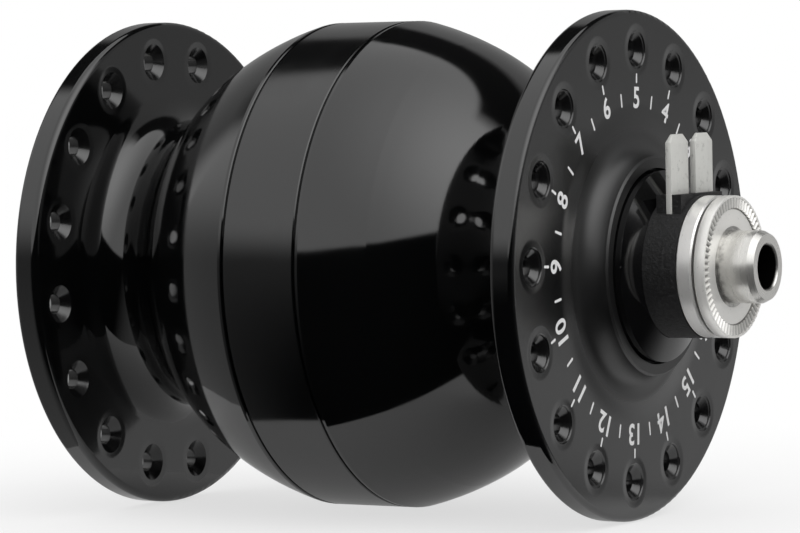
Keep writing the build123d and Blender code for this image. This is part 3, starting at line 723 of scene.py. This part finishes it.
def tent_finish():
    """White tent with its soft box, a black lower part in front, and a grey card and a black band behind."""
    look = studio()
    material = card_finish("soft_tent", 1.0)
    tree = material.node_tree
    vector = add(tree, "ShaderNodeTexCoord").outputs["Object"]
    turn = turn_round(tree, vector)
    outwards = add(tree, "ShaderNodeVectorMath", {0: vector}, operation="NORMALIZE").outputs[0]
    height = add(tree, "ShaderNodeSeparateXYZ", {0: outwards}).outputs[2]
    rise = maths(tree, "MULTIPLY", maths(tree, "ARCSINE", height), 180 / math.pi)

    box = direction(*SOFT_BOX_AT) * look.tent_radius
    away = add(tree, "ShaderNodeVectorMath", {0: vector, 1: box}, operation="DISTANCE").outputs["Value"]
    bright = span(tree, away, 0.0, look.tent_radius * SOFT_BOX_REACH, 1.0 + look.soft_box, 1.0)
    low = low_glow(tree, turn, look.back_level)
    lean = add(tree, "ShaderNodeVectorMath", {0: outwards, 1: direction(*HORIZON_LEANS_TO)},
               operation="DOT_PRODUCT").outputs["Value"]
    horizon = maths(tree, "MULTIPLY_ADD", lean, math.degrees(look.horizon), math.degrees(look.horizon))
    softness = span(tree, turn, *SIDE_FADE, *HORIZON_SOFT)
    edge = span(tree, rise, horizon, maths(tree, "ADD", horizon, softness))
    front = maths(tree, "MULTIPLY_ADD", edge, maths(tree, "SUBTRACT", bright, low), low)

    band_low = math.degrees(look.band_low)
    band_high = math.degrees(look.band_high)
    card = span(tree, rise, band_low - BAND_FOOT_SOFT, band_low + BAND_FOOT_SOFT, look.back_level, BLACK_BAND)
    above = span(tree, rise, band_high - BAND_TOP_SOFT, band_high + BAND_TOP_SOFT)
    back = maths(tree, "MAXIMUM", card, maths(tree, "MULTIPLY", above, bright))
    behind = maths(tree, "MULTIPLY", span(tree, turn, *BEHIND_START), span(tree, turn, *BEHIND_END, 1.0, 0.0))
    glow = maths(tree, "MULTIPLY_ADD", behind, maths(tree, "SUBTRACT", back, front), front)
    tree.links.new(glow, tree.nodes["Emission"].inputs["Strength"])
    return material


def floor_card_finish():
    """Black in front of the hub and grey beside and behind it."""
    material = card_finish("floor_card", 0.0)
    tree = material.node_tree
    vector = add(tree, "ShaderNodeTexCoord").outputs["Object"]
    glow = low_glow(tree, turn_round(tree, vector), studio().floor_behind)
    tree.links.new(glow, tree.nodes["Emission"].inputs["Strength"])
    return material


def direction(azimuth, elevation):
    """A direction from the hub, with azimuth 0 towards the camera and + to its right, in degrees."""
    towards = studio().camera_azimuth + math.radians(azimuth)
    height = math.radians(elevation)
    level = math.cos(height)
    return Vector((math.cos(towards) * level, math.sin(towards) * level, math.sin(height)))


def facing(point):
    """A matrix that puts a flat thing at a point, facing the hub."""
    return Matrix.Translation(point) @ (-point).to_track_quat("-Z", "Y").to_matrix().to_4x4()


def soft_lamp(name, towards, size, power):
    """A square lamp that lights matt surfaces and shows in no reflection."""
    light = bpy.data.lights.new(name, "AREA")
    light.shape = "SQUARE"
    light.size = size
    light.energy = power
    lamp = bpy.data.objects.new(name, light)
    bpy.context.scene.collection.objects.link(lamp)
    lamp.matrix_world = facing(direction(*towards) * LAMP_DISTANCE)
    lamp.visible_glossy = False


def floor_card():
    """A card that lies on the floor round the oval of pale floor under the hub."""
    look = studio()
    low = look.floor_height + CARD_ABOVE_FLOOR
    inner = (look.oval_width / look.tent_radius, look.oval_length / look.tent_radius, 1.0)
    bpy.ops.object.select_all(action="DESELECT")
    bpy.ops.mesh.primitive_circle_add(vertices=128, radius=look.tent_radius, fill_type="NOTHING",
                                      location=(0, 0, low))
    card = named("studio_floor_card")
    apply_place(card)
    select_only(card)
    bpy.ops.object.mode_set(mode="EDIT")
    pick(card, "edges", lambda edge: True)
    bpy.ops.mesh.extrude_region_move()
    bpy.ops.transform.resize(value=inner, center_override=(0, 0, low))
    bpy.ops.object.mode_set(mode="OBJECT")
    card.data.materials.append(floor_card_finish())
    stage_only(card)


class HUB_OT_studio(bpy.types.Operator):
    """Camera, white surround, pale floor, soft lamps and the cards that shape the reflections"""
    bl_idname = "hub.studio"
    bl_label = "Studio"

    def execute(self, context):
        look = studio()
        set_camera()
        set_world()

        bpy.ops.object.select_all(action="DESELECT")
        bpy.ops.mesh.primitive_plane_add(size=8.0, location=(0, 0, look.floor_height))
        floor = named("studio_floor")
        apply_place(floor)
        floor.data.materials.append(floor_finish())

        floor_card()
        bpy.ops.object.select_all(action="DESELECT")
        bpy.ops.mesh.primitive_uv_sphere_add(segments=96, ring_count=48, radius=look.tent_radius)
        tent = named("studio_tent")
        tent.data.materials.append(tent_finish())
        stage_only(tent)

        soft_lamp("key_lamp", KEY_LAMP_AT, size=0.8, power=look.key_light)
        soft_lamp("fill_lamp", FILL_LAMP_AT, size=1.0, power=look.fill_light)
        return {"FINISHED"}


# Finishes of the solids

class HUB_OT_finish_shell(bpy.types.Operator):
    """Finishes of the shells, the band between them, the magnets and the gaskets"""
    bl_idname = "hub.finish_shell"
    bl_label = "Shell finishes"

    def execute(self, context):
        finish_nodes(anodised_finish(), *at_both_ends("shell"))
        finish_nodes(band_finish(), "rotor_band")
        magnet = rough_finish("sintered_magnet", dark=(0.07, 0.07, 0.075), pale=(0.14, 0.14, 0.15), size=0.08,
                              depth=0.00001, roughness=(0.35, 0.5), metallic=0.6)
        finish_nodes(magnet, "magnets_north", "magnets_south")
        rubber = rough_finish("black_rubber", dark=(0.014, 0.014, 0.015), pale=(0.03, 0.03, 0.032), size=0.1,
                              depth=0.000015, roughness=(0.55, 0.75))
        finish_nodes(rubber, *at_both_ends("shell_gasket", "lip_seal"))
        return {"FINISHED"}


class HUB_OT_finish_bearings(bpy.types.Operator):
    """Finishes of the bearings, their clips and the seal covers"""
    bl_idname = "hub.finish_bearings"
    bl_label = "Bearing finishes"

    def execute(self, context):
        ground = machined_finish("ground_steel", finishes().polished_steel, spacing=0.08, depth=0.0000015,
                                 roughness=(0.12, 0.2))
        finish_nodes(ground, *at_both_ends("bearing_inner_race", "bearing_outer_race"))
        ball = rough_finish("polished_ball", dark=(0.7, 0.7, 0.71), pale=(0.76, 0.76, 0.77), size=0.05,
                            depth=0.0000002, roughness=(0.05, 0.09), metallic=1.0)
        finish_nodes(ball, *at_both_ends("bearing_balls"))
        pressed = machined_finish("pressed_steel", finishes().axle_steel, spacing=0.25, depth=0.000004,
                                  roughness=(0.25, 0.38))
        finish_nodes(pressed, *at_both_ends("bearing_shields", "bearing_circlip"))
        nylon = rough_finish("natural_nylon", dark=(0.62, 0.58, 0.48), pale=(0.7, 0.66, 0.56), size=0.15,
                             depth=0.00001, roughness=(0.4, 0.55))
        finish_nodes(nylon, *at_both_ends("bearing_cage"), "coil_bobbin")
        finish_nodes(gloss_finish(), *at_both_ends("seal_cone"))
        return {"FINISHED"}


class HUB_OT_finish_stator(bpy.types.Operator):
    """Finishes of the claw poles, the winding, the nuts and the tubes inside the hub"""
    bl_idname = "hub.finish_stator"
    bl_label = "Stator finishes"

    def execute(self, context):
        punched = rough_finish("punched_steel", dark=(0.36, 0.35, 0.34), pale=(0.46, 0.45, 0.44), size=0.12,
                               depth=0.000008, roughness=(0.32, 0.48), metallic=1.0)
        finish_nodes(punched, *at_both_ends("stator_claw"))
        turned = machined_finish("turned_steel", finishes().axle_steel, spacing=0.14, depth=0.000006,
                                 roughness=(0.26, 0.4))
        finish_nodes(turned, "stator_core_sleeve", *at_both_ends("stator_clamp_nut", "spacer_tube"))
        copper = machined_finish("enamelled_copper", (0.62, 0.26, 0.1), spacing=0.3, depth=0.00004,
                                 roughness=(0.2, 0.34))
        finish_nodes(copper, "coil_winding")
        sleeve = rough_finish("wire_sleeve", dark=(0.02, 0.02, 0.021), pale=(0.035, 0.035, 0.037), size=0.2,
                              depth=0.00001, roughness=(0.35, 0.5))
        finish_nodes(sleeve, "lead_wire_left", "lead_wire_right")
        return {"FINISHED"}


class HUB_OT_finish_axle(bpy.types.Operator):
    """Finishes of the axle, the end spacers and the locknuts"""
    bl_idname = "hub.finish_axle"
    bl_label = "Axle finishes"

    def execute(self, context):
        finish_nodes(axle_finish(), "axle")
        spacer = machined_finish("polished_spacer", finishes().polished_steel, spacing=0.09, depth=0.000001,
                                 roughness=(0.28, 0.36), metallic=0.7)
        finish_nodes(spacer, *at_both_ends("end_spacer"))
        finish_nodes(locknut_finish(), *at_both_ends("locknut"))
        return {"FINISHED"}


class HUB_OT_finish_connector(bpy.types.Operator):
    """Finishes of the moulded connector body and its blades"""
    bl_idname = "hub.finish_connector"
    bl_label = "Connector finishes"

    def execute(self, context):
        finish_nodes(moulded_finish(), "connector_body", "end_sleeve_plain_side")
        finish_nodes(blade_finish(), "terminal_left", "terminal_right")
        return {"FINISHED"}


# Modelled pieces

def cut_off(point, normal):
    """In edit mode, cuts away what lies on the outer side of a plane and closes the cut."""
    bpy.ops.mesh.select_all(action="SELECT")
    bpy.ops.mesh.bisect(plane_co=point, plane_no=normal, use_fill=True, clear_outer=True)


class HUB_OT_plug_blades(bpy.types.Operator):
    """Plug blades with cut corners and bevelled edges, in place of the plain solids"""
    bl_idname = "hub.plug_blades"
    bl_label = "Plug blades"

    def execute(self, context):
        sizes = details()
        for side in ("left", "right"):
            low, high = (Vector(corner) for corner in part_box(f"terminal_{side}"))
            size = high - low
            middle = (low + high) / 2
            bpy.ops.object.select_all(action="DESELECT")
            bpy.ops.mesh.primitive_cube_add(size=1.0, location=middle, scale=size)
            blade = named(f"plug_blade_{side}")
            apply_place(blade)
            select_only(blade)
            bpy.ops.object.mode_set(mode="EDIT")
            for way in (-1, 1):
                corner = Vector((middle.x + way * size.x / 2, middle.y, high.z - sizes.blade_corner))
                cut_off(corner, (way, 0, 1.4))
            for way in (-1, 1):
                slope = Vector((middle.x, middle.y + way * size.y / 2, high.z - sizes.blade_lead))
                cut_off(slope, (0, way, 0.24))
            bpy.ops.mesh.select_all(action="SELECT")
            bpy.ops.mesh.bevel(offset=sizes.blade_edge, segments=2, profile=0.5, affect="EDGES")
            bpy.ops.mesh.select_all(action="SELECT")
            bpy.ops.mesh.normals_make_consistent(inside=False)
            bpy.ops.object.mode_set(mode="OBJECT")
            bpy.ops.object.shade_smooth_by_angle(angle=math.radians(25))
            blade.data.materials.append(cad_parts[f"terminal_{side}"].data.materials[0])
            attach(blade, "axle_assembly")
            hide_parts(f"terminal_{side}")
        return {"FINISHED"}


class HUB_OT_locknut_rims(bpy.types.Operator):
    """Plain rims that close the teeth of the locknuts on their outside"""
    bl_idname = "hub.locknut_rims"
    bl_label = "Locknut rims"

    def execute(self, context):
        sizes = details()
        for end in ENDS:
            low, high = (Vector(corner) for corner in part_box(f"locknut_{end}"))
            way = 1 if high.y > 0 else -1
            face = (high.y if way > 0 else low.y) - way * sizes.rim_cover
            back = face - way * sizes.rim_depth
            radius = high.x + sizes.rim_cover
            bpy.ops.object.select_all(action="DESELECT")
            bpy.ops.mesh.primitive_circle_add(vertices=128, radius=radius, fill_type="NOTHING",
                                              location=(0, face, 0), rotation=(math.pi / 2, 0, 0))
            rim = named(f"locknut_rim_{end}")
            apply_place(rim)
            select_only(rim)
            bpy.ops.object.mode_set(mode="EDIT")
            pick(rim, "edges", lambda edge: True)
            bpy.ops.mesh.extrude_edges_move(TRANSFORM_OT_translate={"value": (0, back - face, 0)})
            pick(rim, "edges", lambda edge: all(abs(vert.co.y - back) < 0.01 * MM for vert in edge.verts))
            bpy.ops.mesh.extrude_edges_move(TRANSFORM_OT_translate={"value": (0, 0, 0)})
            mouth = (sizes.rim_mouth, 1.0, sizes.rim_mouth)
            bpy.ops.transform.resize(value=mouth, center_override=(0, back, 0))
            bpy.ops.mesh.select_all(action="SELECT")
            bpy.ops.mesh.normals_make_consistent(inside=False)
            bpy.ops.object.mode_set(mode="OBJECT")
            wall = rim.modifiers.new("wall", "SOLIDIFY")
            wall.thickness = sizes.rim_width
            wall.offset = -1.0
            bpy.ops.object.modifier_apply(modifier=wall.name)
            round_off = rim.modifiers.new("edges", "BEVEL")
            round_off.width = sizes.rim_edge
            round_off.segments = 2
            round_off.limit_method = "ANGLE"
            bpy.ops.object.modifier_apply(modifier=round_off.name)
            bpy.ops.object.shade_smooth_by_angle(angle=math.radians(40))
            rim.data.materials.append(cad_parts[f"locknut_{end}"].data.materials[0])
            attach(rim, "axle_assembly")
        return {"FINISHED"}


class HUB_OT_spoke_numbers(bpy.types.Operator):
    """Printed spoke numbers and ticks round the outer face of the flange at the connector"""
    bl_idname = "hub.spoke_numbers"
    bl_label = "Spoke numbers"

    def execute(self, context):
        sizes = details()
        face = -FLANGE_FACE * MM - sizes.ink_height
        pitch = 2 * math.pi / sizes.spoke_holes
        marks = []
        for index in range(sizes.spoke_holes):
            angle = sizes.first_hole + index * pitch
            bpy.ops.object.select_all(action="DESELECT")
            bpy.ops.object.text_add(location=(0, 0, 0))
            text = bpy.context.view_layer.objects.active
            text.data.body = str(index + 1)
            text.data.align_x = "CENTER"
            text.data.align_y = "CENTER"
            text.data.size = sizes.number_height
            text.data.resolution_u = 4
            text.data.offset = NUMBER_WEIGHT * sizes.number_height
            bpy.ops.object.convert(target="MESH")
            number = named(f"spoke_number_{index + 1}")
            place(number, on_flange(sizes.number_radius, angle, face))
            marks.append(number)
            marks.append(tick(angle, *HOLE_TICK, face))
            marks.append(tick(angle + pitch / 2, *HALF_TICK, face))
        select_only(*marks)
        bpy.ops.object.join()
        numbers = named("spoke_numbers")
        bpy.ops.object.mode_set(mode="EDIT")
        bpy.ops.mesh.select_all(action="SELECT")
        bpy.ops.mesh.remove_doubles(threshold=0.0000001)
        bpy.ops.object.mode_set(mode="OBJECT")
        numbers.data.materials.clear()
        pale = finishes().ink
        print_finish = rough_finish("white_print", dark=[part * 0.94 for part in pale], pale=pale, size=0.06,
                                    depth=0.000002, roughness=(0.4, 0.5))
        numbers.data.materials.append(print_finish)
        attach(numbers, "hub_shell")
        return {"FINISHED"}


def on_flange(radius, angle, station):
    """A matrix that puts a flat mark on the connector flange, its top pointing outwards."""
    outwards = Vector((math.cos(angle), 0, math.sin(angle)))
    normal = Vector((0, -1, 0))
    across = outwards.cross(normal)
    turn = Matrix((across, outwards, normal)).transposed().to_4x4()
    return Matrix.Translation(outwards * radius + Vector((0, station, 0))) @ turn


def tick(angle, inner, length, station):
    """A short radial line with rounded ends, its inner radius and length in millimetres."""
    bpy.ops.object.select_all(action="DESELECT")
    bpy.ops.mesh.primitive_circle_add(vertices=12, radius=TICK_WIDTH * MM / 2, fill_type="NGON")
    made = named("tick")
    bpy.ops.object.mode_set(mode="EDIT")
    pick(made, "verts", lambda vert: vert.co.y > TICK_WIDTH * MM / 10)
    bpy.ops.transform.translate(value=(0, length * MM, 0))
    bpy.ops.object.mode_set(mode="OBJECT")
    place(made, on_flange(inner * MM, angle, station))
    return made


# Panel and start

STEPS = ("studio", "finish_shell", "finish_bearings", "finish_stator", "finish_axle", "finish_connector",
         "plug_blades", "locknut_rims", "spoke_numbers")


class HUB_PT_panel(bpy.types.Panel):
    """Sizes, colours and steps of the hub's dressing"""
    bl_label = "Hub Dynamo"
    bl_idname = "HUB_PT_panel"
    bl_space_type = "VIEW_3D"
    bl_region_type = "UI"
    bl_category = "Hub Dynamo"

    def draw(self, context):
        for settings in (studio(), finishes(), details()):
            box = self.layout.box()
            for name in settings.__annotations__:
                box.prop(settings, name)
        for step in STEPS:
            self.layout.operator(f"hub.{step}")


CLASSES = (HubStudioSettings, HubFinishSettings, HubDetailSettings, HUB_OT_studio, HUB_OT_finish_shell,
           HUB_OT_finish_bearings, HUB_OT_finish_stator, HUB_OT_finish_axle, HUB_OT_finish_connector,
           HUB_OT_plug_blades, HUB_OT_locknut_rims, HUB_OT_spoke_numbers, HUB_PT_panel)


def register():
    for kind in CLASSES:
        bpy.utils.register_class(kind)
    bpy.types.Scene.hub_studio = PointerProperty(type=HubStudioSettings)
    bpy.types.Scene.hub_finishes = PointerProperty(type=HubFinishSettings)
    bpy.types.Scene.hub_details = PointerProperty(type=HubDetailSettings)


def unregister():
    del bpy.types.Scene.hub_studio
    del bpy.types.Scene.hub_finishes
    del bpy.types.Scene.hub_details
    for kind in reversed(CLASSES):
        bpy.utils.unregister_class(kind)


def main():
    register()
    for make_group in (axle_coordinates, turning_lines, fine_grain, spoke_hole_mask):
        make_group()
    for step in STEPS:
        getattr(bpy.ops.hub, step)()


if __name__ == "__main__":
    main()
